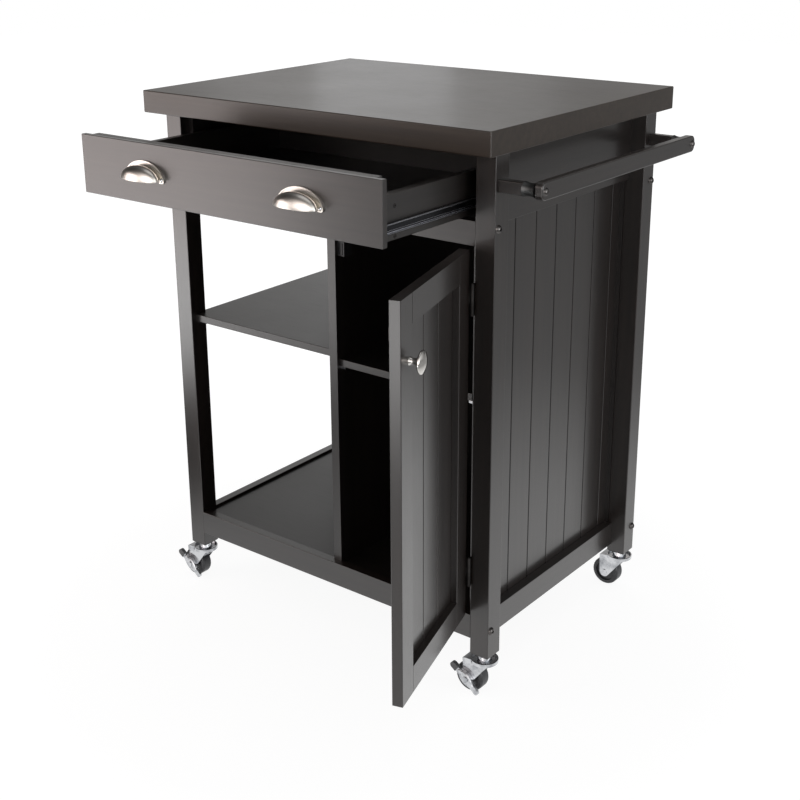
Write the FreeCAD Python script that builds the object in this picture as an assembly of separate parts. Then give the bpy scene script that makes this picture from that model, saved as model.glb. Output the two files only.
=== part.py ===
import FreeCAD, Part
import math
import os

# Kitchen cart: worktop on four legs, a drawer over an open bay and a door cabinet, on four casters.
# Millimetres. +X is the cart's right, +Y its back, +Z up. The pieces are drawn about the worktop's
# middle, with the drawer shut and the door closed, and then moved to the rest pose.

Vector = FreeCAD.Vector
right = Vector(1, 0, 0)
back = Vector(0, 1, 0)
up = Vector(0, 0, 1)
front = Vector(0, -1, 0)

# Whole cart
total_height = 900.0
worktop_width = 683.5
worktop_depth = 527.0
worktop_thickness = 36.0
worktop_edge_radius = 1.6
worktop_side_overhang = 14.2
worktop_front_overhang = 34.7
worktop_back_overhang = 26.9
cut_overrun = 4.0

# Rest pose: how far the drawer is out and the door is open in use
drawer_pulled_out = 205.8
door_opened_degrees = 106.3

# Legs
leg_section = 33.5
leg_edge_radius = 1.2
leg_foot_chamfer = 2.4
caster_height = 71.4

# Front and back rails
rail_thickness = 16.0
rail_edge_radius = 0.8
bottom_rail_base = 99.5
bottom_rail_height = 41.3
drawer_rail_height = 36.5

# Side frames
apron_recess = 26.9
apron_thickness = 15.5
apron_height = 112.0
right_rail_base = 85.3
right_rail_height = 42.2
left_rail_recess = 15.5

# Grooved side panel, glued behind the right apron and rail
side_panel_thickness = 5.0
side_panel_front_setback = 19.0
side_panel_apron_lap = 12.0
side_panel_rail_lap = 30.0
board_pitch = 58.0
board_groove_width = 3.2
board_groove_depth = 1.8
side_groove_offset = 5.4
side_groove_count = 7

# Back panel, let in flush with the inside of the back rails
back_panel_thickness = 5.0
back_panel_rebate = 7.0
back_panel_play = 0.2

# Partition and shelves
partition_offset = 16.8
partition_thickness = 15.7
partition_setback = 10.8
bottom_shelf_drop = 4.8
bottom_shelf_thickness = 12.4
open_shelf_height_share = 0.638
open_shelf_thickness = 12.4
open_shelf_edge_recess = 26.0
cabinet_shelf_height_share = 0.611
cabinet_shelf_thickness = 12.0
cabinet_shelf_setback = 17.8
cabinet_shelf_play = 0.4
shelf_edge_radius = 0.8
cleat_section = 15.0
cleat_end_gap = 20.0

# Shelf pegs
peg_shank_radius = 2.5
peg_head_radius = 4.5
peg_flat_rise = 3.0
peg_hole_depth = 8.5
peg_reach = 8.0
peg_front_inset = 25.8
peg_back_inset = 26.0
peg_play = 0.05

# Frame bolts and barrel nuts
bolt_radius = 3.0
bolt_head_radius = 6.5
bolt_head_height = 4.2
bolt_socket_radius = 2.3
bolt_socket_depth = 2.6
bolt_grip = 28.0
barrel_nut_radius = 5.0
barrel_nut_length = 13.0
barrel_nut_inset = 20.0
bolt_play = 0.06
drawer_rail_bolt_rise = 28.0
bottom_rail_bolt_rise = 20.6
top_rail_bolt_rise = 20.5

# Towel bar on the right side
towel_bar_height = 26.0
towel_bar_thickness = 14.0
towel_bar_reach = 72.3
towel_bar_below_worktop = 46.0
towel_bar_front_overrun = 8.0
towel_bar_back_overrun = 9.0
towel_bar_corner_radius = 9.0
towel_bar_edge_radius = 2.5
towel_arm_height = 19.0
towel_arm_width = 14.0
towel_arm_length = 39.5
towel_arm_front_inset = 12.3
towel_arm_back_inset = 14.6
towel_arm_edge_radius = 2.0
towel_collar_radius = 11.0
towel_collar_waist = 9.2
towel_screw_radius = 2.5
towel_screw_head_radius = 6.0
towel_screw_head_height = 3.4
towel_screw_leg_depth = 18.0

# Drawer
drawer_gap_over = 6.0
drawer_gap_under = 2.4
drawer_gap_side = 1.2
drawer_front_height = 90.6
drawer_front_thickness = 9.5
drawer_front_edge_radius = 1.0
drawer_inner_front_thickness = 11.3
drawer_slide_space = 9.35
drawer_side_thickness = 12.0
drawer_side_height = 63.0
drawer_side_rise = 0.8
drawer_back_gap = 28.6
drawer_bottom_thickness = 4.0
drawer_bottom_rise = 7.0
drawer_groove_depth = 5.0
drawer_groove_play = 0.2
drawer_cam_radius = 3.4
drawer_cam_depth = 6.0
drawer_cam_inset = 26.0
drawer_cam_low_rise = 5.0
drawer_cam_high_rise = 46.0
cam_slot_width = 1.0
cam_slot_depth = 1.2

# Drawer slides: a runner on the drawer in a channel on the cart
slide_height = 15.0
slide_rise = 11.0
slide_sheet = 1.2
slide_runner_depth = 5.7
slide_channel_depth = 7.8
slide_play = 0.3
slide_back_setback = 2.0
slide_front_setback = 3.0

# Cup pulls
pull_spacing = 306.0
pull_width = 82.5
pull_flange_height = 26.5
pull_flange_thickness = 1.4
pull_flange_rise = 38.6
pull_bead_width = 1.7
pull_bead_height = 2.6
pull_cup_half_length = 37.5
pull_cup_bulge = 15.0
pull_cup_height = 21.0
pull_cup_ahead = 11.5
pull_cup_wall = 1.5
pull_cup_pole_degrees = 20.0
pull_lug_inset = 5.2
pull_lug_drop = 3.6
pull_lug_width = 9.4
pull_screw_rise = 1.2
pull_screw_radius = 1.5
pull_screw_head_radius = 2.8
pull_screw_head_height = 1.7
pull_screw_length = 7.5

# Door
door_gap_over = 3.5
door_gap_under = 2.2
door_gap_hinge = 2.15
door_gap_free = 1.5
door_thickness = 16.0
door_edge_radius = 1.0
door_rail_width = 41.0
door_panel_thickness = 5.0
door_panel_rebate = 6.0
door_panel_play = 0.2
door_first_groove = 98.0
door_groove_count = 3

# Knob
knob_from_free_edge = 30.75
knob_below_door_top = 88.0
knob_base_radius = 6.2
knob_neck_radius = 4.6
knob_disc_radius = 16.2
knob_length = 22.0
knob_disc_underside = 14.4
knob_disc_rim = 18.4
knob_under_edge_share = 0.9
knob_crown_edge_share = 0.95
knob_neck_low_share = 0.33
knob_neck_high_share = 0.67
knob_bore_depth = 10.0
knob_screw_radius = 2.0
knob_screw_head_radius = 3.6
knob_screw_head_height = 2.4

# Butt hinges, with the knuckle in front of the gap beside the door
hinge_height = 48.0
hinge_from_middle = 217.0
hinge_pin_ahead = 4.0
hinge_pin_from_leg = 1.05
hinge_knuckle_radius = 3.4
hinge_pin_radius = 1.5
hinge_pin_head_radius = 2.4
hinge_pin_head_height = 1.0
hinge_leaf_thickness = 0.9
hinge_leaf_depth = 18.0
hinge_knuckle_low_share = 0.333
hinge_knuckle_high_share = 0.667
hinge_play = 0.3
hinge_fit = 0.05

# Magnetic catch and its strike plate
catch_height = 24.0
catch_width = 13.0
catch_depth = 19.0
catch_below_door_top = 45.0
catch_play = 0.5
catch_pole_width = 1.5
catch_pole_inset = 3.0
catch_edge_radius = 1.0
strike_height = 18.0
strike_width = 10.5
strike_thickness = 1.0
strike_corner_radius = 1.0
strike_inset = 1.0

# Casters
wheel_radius = 25.0
wheel_half_width = 10.0
wheel_shoulder_radius = 3.2
wheel_hub_radius = 8.5
wheel_recess_radius = 18.0
wheel_recess_depth = 3.5
caster_trail = 22.0
axle_radius = 3.0
axle_head_radius = 5.0
axle_head_height = 1.3
running_fit = 0.05
running_gap = 0.3
fork_plate_gap = 2.0
fork_sheet = 1.6
fork_boss_radius = 9.0
fork_dish_radius = 22.0
fork_dish_base = 57.6
fork_dish_lip = 5.4
fork_cone_radius = 12.5
fork_cone_top_radius = 9.5
fork_hood_degrees = 18.0
stem_radius = 4.0
stem_length = 34.0
socket_radius = 5.5
socket_length = 36.0
socket_flange_radius = 9.0
socket_flange_thickness = 1.0
socket_play = 0.05
lever_upper_length = 19.0
lever_lower_length = 18.0
lever_half_width = 9.2
lever_tip_radius = 4.8
lever_tilt_degrees = 138.0
lever_depth = 7.6
lever_sheet = 1.5
lever_hub_radius = 5.0
lever_edge_radius = 1.4
upper_finger_length = 33.5
upper_finger_radius = 4.4
upper_finger_turn_degrees = 6.0
lower_finger_length = 30.0
lower_finger_radius = 4.7
finger_thickness = 4.4
finger_setback = 1.6
lever_pad_length = 13.0
lever_pad_thickness = 1.0

# An edge follows a direction when at least this share of it runs along it
parallel_share = 0.999

# How far the middle of a quarter round lies out along either of its two directions
diagonal_share = 0.70710678

# Planes and places that follow from the sizes
frame_right = worktop_width / 2 - worktop_side_overhang
frame_front = -worktop_depth / 2 + worktop_front_overhang
frame_back = worktop_depth / 2 - worktop_back_overhang
frame_top = total_height - worktop_thickness
leg_inner_x = frame_right - leg_section
leg_inner_front = frame_front + leg_section
leg_inner_back = frame_back - leg_section
rail_front_rear = frame_front + rail_thickness
rail_back_front = frame_back - rail_thickness
bottom_rail_top = bottom_rail_base + bottom_rail_height
drawer_front_base = frame_top - drawer_gap_over - drawer_front_height
drawer_rail_top = drawer_front_base - drawer_gap_under
drawer_rail_base = drawer_rail_top - drawer_rail_height
apron_base = frame_top - apron_height
apron_inner_x = frame_right - apron_recess - apron_thickness
left_rail_inner_x = frame_right - left_rail_recess - rail_thickness
right_rail_top = right_rail_base + right_rail_height
side_panel_inner_x = apron_inner_x - side_panel_thickness
side_panel_front = frame_front + side_panel_front_setback
side_panel_base = right_rail_top - side_panel_rail_lap
partition_left = partition_offset - partition_thickness / 2
partition_right = partition_offset + partition_thickness / 2
partition_front = frame_front + partition_setback
bottom_shelf_top = bottom_rail_top - bottom_shelf_drop
bottom_shelf_base = bottom_shelf_top - bottom_shelf_thickness
open_shelf_top = bottom_shelf_top + open_shelf_height_share * (drawer_rail_base - bottom_shelf_top)
open_shelf_base = open_shelf_top - open_shelf_thickness
cabinet_shelf_top = bottom_shelf_top + cabinet_shelf_height_share * (drawer_rail_base - bottom_shelf_top)
cabinet_shelf_base = cabinet_shelf_top - cabinet_shelf_thickness
peg_rows = (frame_front + peg_front_inset, frame_back - peg_back_inset)
front_bolt_y = frame_front + rail_thickness / 2
back_bolt_y = frame_back - rail_thickness / 2
towel_collar_start = frame_right + towel_arm_length
towel_bar_outer = frame_right + towel_bar_reach
towel_bar_inner = towel_bar_outer - towel_bar_thickness
towel_bar_mid_height = frame_top - towel_bar_below_worktop
towel_rows = (frame_front + towel_arm_front_inset, frame_back - towel_arm_back_inset)
drawer_front_half = leg_inner_x - drawer_gap_side
drawer_front_rear = frame_front + drawer_front_thickness
drawer_box_front = drawer_front_rear + drawer_inner_front_thickness
drawer_box_back = rail_back_front - drawer_back_gap
drawer_box_half = apron_inner_x - drawer_slide_space
drawer_inner_half = drawer_box_half - drawer_side_thickness
drawer_side_base = drawer_front_base + drawer_side_rise
drawer_side_top = drawer_side_base + drawer_side_height
drawer_bottom_base = drawer_side_base + drawer_bottom_rise
drawer_bottom_top = drawer_bottom_base + drawer_bottom_thickness
slide_base = drawer_side_base + slide_rise
slide_front = drawer_box_front + slide_front_setback
slide_back = drawer_box_back - slide_back_setback
door_base = bottom_rail_top + door_gap_under
door_top = drawer_rail_base - door_gap_over
door_right = leg_inner_x - door_gap_hinge
door_left = partition_right + door_gap_free
door_inner = frame_front + door_thickness
knob_height = door_top - knob_below_door_top
catch_middle_height = door_top - catch_below_door_top
door_panel_front = door_inner - door_panel_thickness
hinge_axis = Vector(leg_inner_x - hinge_pin_from_leg, frame_front - hinge_pin_ahead, 0)
door_middle = (door_base + door_top) / 2
hinge_middles = (door_middle - hinge_from_middle, door_middle + hinge_from_middle)
leg_centre_x = frame_right - leg_section / 2
leg_centre_front = frame_front + leg_section / 2
leg_centre_back = frame_back - leg_section / 2
corners = {
    "front_left": Vector(-leg_centre_x, leg_centre_front, 0),
    "front_right": Vector(leg_centre_x, leg_centre_front, 0),
    "back_left": Vector(-leg_centre_x, leg_centre_back, 0),
    "back_right": Vector(leg_centre_x, leg_centre_back, 0),
}
braked_corners = ("front_left", "front_right")
wheel_clear_half = wheel_half_width + fork_plate_gap
fork_outer_half = wheel_clear_half + fork_sheet
lever_inner_side = fork_outer_half + running_gap
lever_outer_side = lever_inner_side + lever_depth
bolt_rows = (
    (front_bolt_y, drawer_rail_base + drawer_rail_bolt_rise),
    (front_bolt_y, bottom_rail_base + bottom_rail_bolt_rise),
    (back_bolt_y, drawer_rail_base + top_rail_bolt_rise),
    (back_bolt_y, bottom_rail_base + bottom_rail_bolt_rise),
)


def block(x0, x1, y0, y1, z0, z1):
    return Part.makeBox(x1 - x0, y1 - y0, z1 - z0, Vector(x0, y0, z0))


def rod(radius, start, end):
    return Part.makeCylinder(radius, (end - start).Length, start, end - start)


def eased(shape, radius, direction=None):
    edges = []
    for edge in shape.Edges:
        along = edge.tangentAt(edge.FirstParameter)
        if direction is None or abs(along.dot(direction)) > parallel_share:
            edges.append(edge)
    return shape.makeFillet(radius, edges)


def mirrored(shape):
    return shape.mirror(Vector(), right)


def placed(shape, origin, axis):
    shape = shape.copy()
    shape.Placement = FreeCAD.Placement(origin, FreeCAD.Rotation(up, axis))
    return shape


def turned(outline):
    # The outline's edges lie in the XZ plane, with X the radius and Z the height.
    face = Part.Face(Part.Wire(outline))
    return face.revolve(Vector(), up, 360)


def path(points):
    corners_3d = [Vector(radius, 0, height) for radius, height in points]
    return [Part.LineSegment(a, b).toShape() for a, b in zip(corners_3d, corners_3d[1:])]


def bow(first, middle, last):
    return Part.Arc(*[Vector(radius, 0, height) for radius, height in (first, middle, last)]).toShape()


def domed_screw(head_radius, head_height, shank_radius, shank_length):
    # Head on +Z above the seat at zero, shank below.
    crown = (head_radius * diagonal_share, head_height * diagonal_share)
    outline = [bow((0, head_height), crown, (head_radius, 0))]
    outline += path([(head_radius, 0), (shank_radius, 0), (shank_radius, -shank_length), (0, -shank_length)])
    outline += path([(0, -shank_length), (0, head_height)])
    return turned(outline)


def worktop():
    slab = block(
        -worktop_width / 2, worktop_width / 2, -worktop_depth / 2, worktop_depth / 2, frame_top, total_height
    )
    return eased(slab, worktop_edge_radius)


def leg(corner):
    half = leg_section / 2
    post = block(
        corner.x - half, corner.x + half, corner.y - half, corner.y + half, caster_height, frame_top
    )
    foot = [edge for edge in post.Edges if edge.BoundBox.ZMax < caster_height + leg_edge_radius]
    post = eased(post.makeChamfer(leg_foot_chamfer, foot), leg_edge_radius, up)
    post = post.cut(rod(socket_radius + socket_play, corner, corner + up * (caster_height + socket_length)))
    side = math.copysign(1, corner.x)
    for y, z in bolt_rows:
        if abs(y - corner.y) < half:
            start = Vector(side * (frame_right + cut_overrun), y, z)
            end = Vector(side * (leg_inner_x - cut_overrun), y, z)
            post = post.cut(rod(bolt_radius + bolt_play, start, end))
    if corner.y > 0:
        post = post.cut(back_panel_board(back_panel_play))
    if corner.x > 0:
        post = post.cut(towel_screw_hole(corner.y > 0))
    else:
        post = post.cut(Part.makeCompound(peg_holes(open_shelf_base, -leg_inner_x, -right, corner.y)))
    return post


def rail_with_bolts(rail, y, z):
    nut_face = rail_front_rear if y < 0 else rail_back_front
    into = front if y < 0 else back
    for side in (-1, 1):
        end = Vector(side * leg_inner_x, y, z)
        rail = rail.cut(rod(bolt_radius + bolt_play, end, end - right * side * (bolt_grip + cut_overrun)))
        hole = Vector(side * (leg_inner_x - barrel_nut_inset), nut_face, z)
        rail = rail.cut(rod(barrel_nut_radius + bolt_play, hole, hole + into * barrel_nut_length))
    return rail


def drawer_rail_front():
    rail = block(-leg_inner_x, leg_inner_x, frame_front, rail_front_rear, drawer_rail_base, drawer_rail_top)
    return rail_with_bolts(eased(rail, rail_edge_radius, right), *bolt_rows[0])


def bottom_rail_front():
    rail = block(-leg_inner_x, leg_inner_x, frame_front, rail_front_rear, bottom_rail_base, bottom_rail_top)
    return rail_with_bolts(eased(rail, rail_edge_radius, right), *bolt_rows[1])


def top_rail_back():
    rail = block(-leg_inner_x, leg_inner_x, rail_back_front, frame_back, drawer_rail_base, frame_top)
    return rail_with_bolts(rail.cut(back_panel_board(back_panel_play)), *bolt_rows[2])


def bottom_rail_back():
    rail = block(-leg_inner_x, leg_inner_x, rail_back_front, frame_back, bottom_rail_base, bottom_rail_top)
    return rail_with_bolts(rail.cut(back_panel_board(back_panel_play)), *bolt_rows[3])


def side_apron():
    apron = block(
        apron_inner_x, apron_inner_x + apron_thickness, leg_inner_front, leg_inner_back, apron_base, frame_top
    )
    return eased(apron, rail_edge_radius, back)


def side_rail_right():
    rail = block(
        apron_inner_x, apron_inner_x + apron_thickness, leg_inner_front, leg_inner_back,
        right_rail_base, right_rail_top
    )
    return eased(rail, rail_edge_radius, back)


def side_rail_left():
    rail = block(
        -left_rail_inner_x - rail_thickness, -left_rail_inner_x, leg_inner_front, leg_inner_back,
        bottom_rail_base, bottom_rail_top
    )
    return eased(rail, rail_edge_radius, back)


def board_groove(length):
    # A V cut along Z from zero to the length, its mouth at y = 0 and its point toward +Y.
    half = board_groove_width / 2
    mouth = [Vector(-half, 0, 0), Vector(half, 0, 0), Vector(0, board_groove_depth, 0), Vector(-half, 0, 0)]
    return Part.Face(Part.makePolygon(mouth)).extrude(up * length)


def side_panel():
    top = apron_base + side_panel_apron_lap
    panel = block(side_panel_inner_x, apron_inner_x, side_panel_front, rail_back_front, side_panel_base, top)
    grooves = []
    for index in range(side_groove_count):
        y = side_groove_offset + (index - (side_groove_count - 1) / 2) * board_pitch
        groove = board_groove(top - side_panel_base)
        groove.rotate(Vector(), up, 90)
        groove.translate(Vector(apron_inner_x, y, side_panel_base))
        grooves.append(groove)
    panel = panel.cut(Part.makeCompound(grooves))
    return panel.cut(Part.makeCompound(peg_holes(cabinet_shelf_base, side_panel_inner_x, right)))


def back_panel_board(play=0):
    side = leg_inner_x + back_panel_rebate + play
    return block(
        -side, side, rail_back_front - play, rail_back_front + back_panel_thickness + play,
        bottom_rail_top - back_panel_rebate - play, drawer_rail_base + back_panel_rebate + play
    )


def partition():
    board = block(
        partition_left, partition_right, partition_front, rail_back_front, bottom_shelf_top, drawer_rail_top
    )
    board = board.cut(block(
        partition_left, partition_right, partition_front, rail_front_rear, drawer_rail_base, drawer_rail_top
    ))
    board = board.cut(block(
        partition_left, partition_right, partition_front, rail_front_rear, bottom_shelf_top, bottom_rail_top
    ))
    holes = peg_holes(open_shelf_base, partition_left, right)
    holes += peg_holes(cabinet_shelf_base, partition_right, -right)
    return board.cut(Part.makeCompound(holes))


def bottom_shelf():
    shelf = block(
        -left_rail_inner_x, side_panel_inner_x, rail_front_rear, rail_back_front,
        bottom_shelf_base, bottom_shelf_top
    )
    return shelf.cut(leg_clearance())


def leg_clearance():
    half = leg_section / 2
    posts = []
    for corner in (corners["front_left"], corners["back_left"]):
        posts.append(block(
            corner.x - half, corner.x + half, corner.y - half, corner.y + half, caster_height, frame_top
        ))
    return Part.makeCompound(posts)


def open_shelf():
    shelf = block(
        -frame_right + open_shelf_edge_recess, partition_left, partition_front, rail_back_front,
        open_shelf_base, open_shelf_top
    )
    return eased(shelf, shelf_edge_radius, right).cut(leg_clearance())


def cabinet_shelf():
    shelf = block(
        partition_right + cabinet_shelf_play, side_panel_inner_x - cabinet_shelf_play,
        frame_front + cabinet_shelf_setback, rail_back_front - cabinet_shelf_play,
        cabinet_shelf_base, cabinet_shelf_top
    )
    return eased(shelf, shelf_edge_radius, right)


def support_cleats():
    cleats = []
    for y0 in (rail_front_rear, rail_back_front - cleat_section):
        cleats.append(block(
            -left_rail_inner_x + cleat_end_gap, side_panel_inner_x - cleat_end_gap, y0, y0 + cleat_section,
            bottom_shelf_base - cleat_section, bottom_shelf_base
        ))
    for y0, y1 in ((side_panel_front, leg_inner_front), (leg_inner_back, rail_back_front)):
        cleats.append(block(-leg_inner_x, -apron_inner_x, y0, y1, apron_base, frame_top))
        tall = block(apron_inner_x, leg_inner_x, y0, y1, side_panel_base, frame_top)
        cleats.append(tall.cut(Part.makeCompound(peg_holes(cabinet_shelf_base, side_panel_inner_x, right))))
    return cleats


def peg_holes(shelf_base, face_x, into, near_y=None):
    holes = []
    for y in peg_rows:
        if near_y is None or abs(y - near_y) < leg_section / 2:
            start = Vector(face_x, y, shelf_base - peg_flat_rise)
            holes.append(rod(peg_shank_radius + peg_play, start, start + into * (peg_hole_depth + peg_play)))
    return holes


def shelf_pegs():
    pegs = []
    seats = (
        (open_shelf_base, -leg_inner_x, -right),
        (open_shelf_base, partition_left, right),
        (cabinet_shelf_base, partition_right, -right),
        (cabinet_shelf_base, side_panel_inner_x, right),
    )
    for shelf_base, face_x, into in seats:
        for y in peg_rows:
            start = Vector(face_x, y, shelf_base - peg_flat_rise)
            head = rod(peg_head_radius, start, start - into * peg_reach)
            flat = block(
                face_x - peg_reach, face_x + peg_reach, y - peg_head_radius, y + peg_head_radius,
                shelf_base, shelf_base + peg_head_radius
            )
            shank = rod(peg_shank_radius, start, start + into * peg_hole_depth)
            pegs.append(head.cut(flat).fuse(shank).removeSplitter())
    return pegs


def frame_bolts():
    bolt = domed_screw(bolt_head_radius, bolt_head_height, bolt_radius, leg_section + bolt_grip)
    socket = Part.makeCylinder(bolt_socket_radius, bolt_head_height)
    socket.translate(up * (bolt_head_height - bolt_socket_depth))
    bolt = bolt.cut(socket)
    bolts = []
    for y, z in bolt_rows:
        bolts.append(placed(bolt, Vector(frame_right, y, z), right))
        bolts.append(placed(bolt, Vector(-frame_right, y, z), -right))
    return bolts


def barrel_nuts():
    nuts = []
    for y, z in bolt_rows:
        face = rail_front_rear if y < 0 else rail_back_front
        into = front if y < 0 else back
        for side in (-1, 1):
            start = Vector(side * (leg_inner_x - barrel_nut_inset), face, z)
            nut = rod(barrel_nut_radius, start, start + into * barrel_nut_length)
            cross = Vector(start.x, y, z)
            reach = right * (barrel_nut_radius + cut_overrun)
            nuts.append(nut.cut(rod(bolt_radius + bolt_play, cross - reach, cross + reach)))
    return nuts


def towel_screw_hole(at_back):
    y = towel_rows[1] if at_back else towel_rows[0]
    start = Vector(frame_right - towel_screw_leg_depth - cut_overrun, y, towel_bar_mid_height)
    return rod(towel_screw_radius + bolt_play, start, start + right * worktop_width)


def towel_holes():
    return Part.makeCompound([towel_screw_hole(False), towel_screw_hole(True)])


def towel_bar():
    bar = block(
        towel_bar_inner, towel_bar_outer,
        towel_rows[0] - towel_bar_front_overrun, towel_rows[1] + towel_bar_back_overrun,
        towel_bar_mid_height - towel_bar_height / 2, towel_bar_mid_height + towel_bar_height / 2
    )
    bar = eased(bar, towel_bar_corner_radius, right)
    return eased(bar, towel_bar_edge_radius).cut(towel_holes())


def towel_arms():
    arms = []
    for y in towel_rows:
        arm = block(
            frame_right, towel_collar_start, y - towel_arm_width / 2, y + towel_arm_width / 2,
            towel_bar_mid_height - towel_arm_height / 2, towel_bar_mid_height + towel_arm_height / 2
        )
        arms.append(eased(arm, towel_arm_edge_radius, right).cut(towel_holes()))
    return arms


def towel_collars():
    collars = []
    length = towel_bar_inner - towel_collar_start
    middle = (towel_collar_waist, length / 2)
    outline = [bow((towel_collar_radius, 0), middle, (towel_collar_radius, length))]
    outline += path([(towel_collar_radius, length), (0, length), (0, 0), (towel_collar_radius, 0)])
    collar = turned(outline)
    for y in towel_rows:
        seat = Vector(towel_collar_start, y, towel_bar_mid_height)
        collars.append(placed(collar, seat, right).cut(towel_holes()))
    return collars


def towel_screws():
    length = towel_bar_reach + towel_screw_leg_depth
    screw = domed_screw(towel_screw_head_radius, towel_screw_head_height, towel_screw_radius, length)
    return [placed(screw, Vector(towel_bar_outer, y, towel_bar_mid_height), right) for y in towel_rows]


def slide_channels():
    base = slide_base - slide_play
    height = slide_height + 2 * slide_play
    outer = block(
        apron_inner_x - slide_channel_depth, apron_inner_x, slide_front, slide_back,
        base - slide_sheet, base + height + slide_sheet
    )
    inside = block(
        apron_inner_x - slide_channel_depth, apron_inner_x - slide_sheet,
        slide_front, slide_back, base, base + height
    )
    channel = outer.cut(inside)
    return [channel, mirrored(channel)]


def slide_runners():
    outer = block(
        drawer_box_half, drawer_box_half + slide_runner_depth, slide_front, slide_back,
        slide_base, slide_base + slide_height
    )
    inside = block(
        drawer_box_half + slide_sheet, drawer_box_half + slide_runner_depth,
        slide_front, slide_back, slide_base + slide_sheet, slide_base + slide_height - slide_sheet
    )
    runner = outer.cut(inside)
    return [runner, mirrored(runner)]


def drawer_front():
    board = block(
        -drawer_front_half, drawer_front_half, frame_front, drawer_front_rear,
        drawer_front_base, drawer_front_base + drawer_front_height
    )
    board = eased(board, drawer_front_edge_radius)
    return board.cut(Part.makeCompound([rod(
        pull_screw_radius + bolt_play, seat + front, seat + back * pull_screw_length
    ) for seat in pull_screw_seats()]))


def drawer_bottom_board(play=0):
    side = drawer_inner_half + drawer_groove_depth + play - drawer_groove_play
    start = drawer_box_front - drawer_groove_depth - play + drawer_groove_play
    return block(
        -side, side, start, drawer_box_back + play, drawer_bottom_base - play, drawer_bottom_top + play
    )


def drawer_inner_front():
    board = block(
        -drawer_box_half, drawer_box_half, drawer_front_rear, drawer_box_front,
        drawer_front_base, drawer_front_base + drawer_front_height
    )
    return board.cut(drawer_bottom_board(drawer_groove_play))


def cam_seats(side):
    y = drawer_box_front + drawer_cam_inset
    rises = (drawer_cam_low_rise, drawer_cam_high_rise)
    return [Vector(side * drawer_box_half, y, drawer_side_base + rise) for rise in rises]


def drawer_side():
    board = block(
        drawer_inner_half, drawer_box_half, drawer_box_front, drawer_box_back,
        drawer_side_base, drawer_side_top
    )
    board = eased(board, rail_edge_radius, back).cut(drawer_bottom_board(drawer_groove_play))
    return board.cut(Part.makeCompound([rod(
        drawer_cam_radius + peg_play, seat + right * cut_overrun, seat - right * (drawer_cam_depth + peg_play)
    ) for seat in cam_seats(1)]))


def drawer_cams():
    cams = []
    for seat in cam_seats(1):
        cam = rod(drawer_cam_radius, seat - right * drawer_cam_depth, seat)
        slot = block(
            seat.x - cam_slot_depth, seat.x, seat.y - drawer_cam_radius, seat.y + drawer_cam_radius,
            seat.z - cam_slot_width / 2, seat.z + cam_slot_width / 2
        )
        cam = cam.cut(slot)
        cams += [cam, mirrored(cam)]
    return cams


def drawer_back():
    return block(
        -drawer_inner_half, drawer_inner_half, drawer_box_back - drawer_side_thickness, drawer_box_back,
        drawer_bottom_top, drawer_side_top
    )


def pull_axis_height():
    return drawer_front_base + pull_flange_rise


def pull_screw_seats():
    seats = []
    for side in (-1, 1):
        for end in (-1, 1):
            x = side * pull_spacing / 2 + end * (pull_width / 2 - pull_lug_inset)
            seats.append(Vector(x, frame_front, pull_axis_height() + pull_screw_rise))
    return seats


def cup_egg(inset):
    # An egg lying across the drawer, its middle ahead of the flange. Its poles point into the parts
    # that are cut away.
    tilt = math.radians(pull_cup_pole_degrees)
    height = pull_cup_height - inset
    ball = Part.makeSphere(height, Vector(), Vector(0, math.cos(tilt), math.sin(tilt)))
    stretch = FreeCAD.Matrix()
    stretch.scale((pull_cup_half_length - inset) / height, (pull_cup_bulge - inset) / height, 1)
    egg = ball.transformGeometry(stretch)
    egg.translate(front * pull_cup_ahead)
    return egg


def flange_outline(inset):
    # Half an ellipse over a lug with rounded corners at each end, in the XZ plane.
    half = pull_width / 2 - inset
    drop = pull_lug_drop - inset
    shoulder = half - drop
    bend = drop * diagonal_share
    oval = Part.Ellipse(Vector(half, 0, 0), Vector(0, 0, pull_flange_height - inset), Vector())
    edges = [
        Part.ArcOfEllipse(oval, 0, math.pi).toShape(),
        bow((-half, 0), (-shoulder - bend, -bend), (-shoulder, -drop)),
        Part.LineSegment(Vector(-shoulder, 0, -drop), Vector(shoulder, 0, -drop)).toShape(),
        bow((shoulder, -drop), (shoulder + bend, -bend), (half, 0)),
    ]
    return Part.Face(Part.Wire(edges))


def cup_pull(side):
    # A shell like a quarter of an egg, open below and behind, on a beaded flange with two lugs.
    outer = cup_egg(0)
    inner = cup_egg(pull_cup_wall)
    reach = pull_cup_ahead + pull_cup_bulge + cut_overrun
    shell = outer.cut(inner).common(block(-pull_width, pull_width, -reach, 0, 0, pull_width))
    plate = flange_outline(0).extrude(front * pull_flange_thickness)
    bead = flange_outline(0).cut(flange_outline(pull_bead_width)).extrude(front * pull_bead_height)
    flange = plate.fuse(bead).cut(inner)
    lug_start = pull_width / 2 - pull_lug_width
    flange = flange.cut(block(-lug_start, lug_start, -reach, 0, -pull_lug_drop, 0))
    for end in (-1, 1):
        hole = Vector(end * (pull_width / 2 - pull_lug_inset), 0, pull_screw_rise)
        flange = flange.cut(rod(
            pull_screw_radius + bolt_play, hole, hole + front * pull_flange_thickness
        ))
    pull = shell.fuse(flange).removeSplitter()
    pull.translate(Vector(side * pull_spacing / 2, frame_front, pull_axis_height()))
    return pull


def pull_screws():
    screw = domed_screw(
        pull_screw_head_radius, pull_screw_head_height, pull_screw_radius,
        pull_screw_length + pull_flange_thickness - bolt_play
    )
    return [placed(screw, seat + front * pull_flange_thickness, front) for seat in pull_screw_seats()]


def door_blank(x0, x1, z0, z1):
    return block(x0, x1, frame_front, door_inner, z0, z1)


def door_panel_board(play=0):
    lap = door_rail_width - door_panel_rebate - play
    return block(
        door_left + lap, door_right - lap, door_panel_front - play, door_inner + play,
        door_base + lap, door_top - lap
    )


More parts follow.
